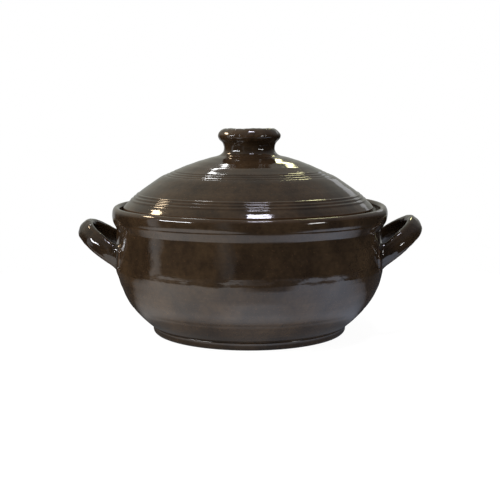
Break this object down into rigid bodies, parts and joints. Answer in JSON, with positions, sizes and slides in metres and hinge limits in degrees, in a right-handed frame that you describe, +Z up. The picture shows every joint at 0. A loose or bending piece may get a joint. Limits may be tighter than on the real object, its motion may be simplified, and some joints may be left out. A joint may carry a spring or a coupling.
{
  "type": "clay cooking pot",
  "caption": "Round-bellied glazed clay cooking pot with two upswept loop handles, a rolled lip with an inner ledge, and a loose domed lid with a waisted knob, for stews and soups.",
  "frame": {"origin": "middle of the foot ring, on the surface that the pot stands on", "axes": "+X through the right handle, +Z up through the knob"},
  "size_m": [0.3052, 0.24, 0.1791],
  "materials": {
    "pot_glaze": "glossy dark brown iron glaze",
    "handle_glaze": "glossy dark brown iron glaze",
    "lid_glaze": "glossy dark brown iron glaze",
    "bare_clay": "unglazed fired clay"
  },
  "bodies": {
    "pot": {"foot_ring": "pot_glaze", "floor_disc": "pot_glaze", "pot_wall": "pot_glaze", "handle_left": "handle_glaze", "handle_right": "handle_glaze"},
    "lid": {"lid_dome": "lid_glaze", "lid_flange": "bare_clay", "lid_knob": "lid_glaze"}
  },
  "joints": [
    {"name": "lid_lift", "type": "slide", "parent": "pot", "child": "lid", "axis": [0, 0, 1], "range_m": [0, 0.12]}
  ]
}
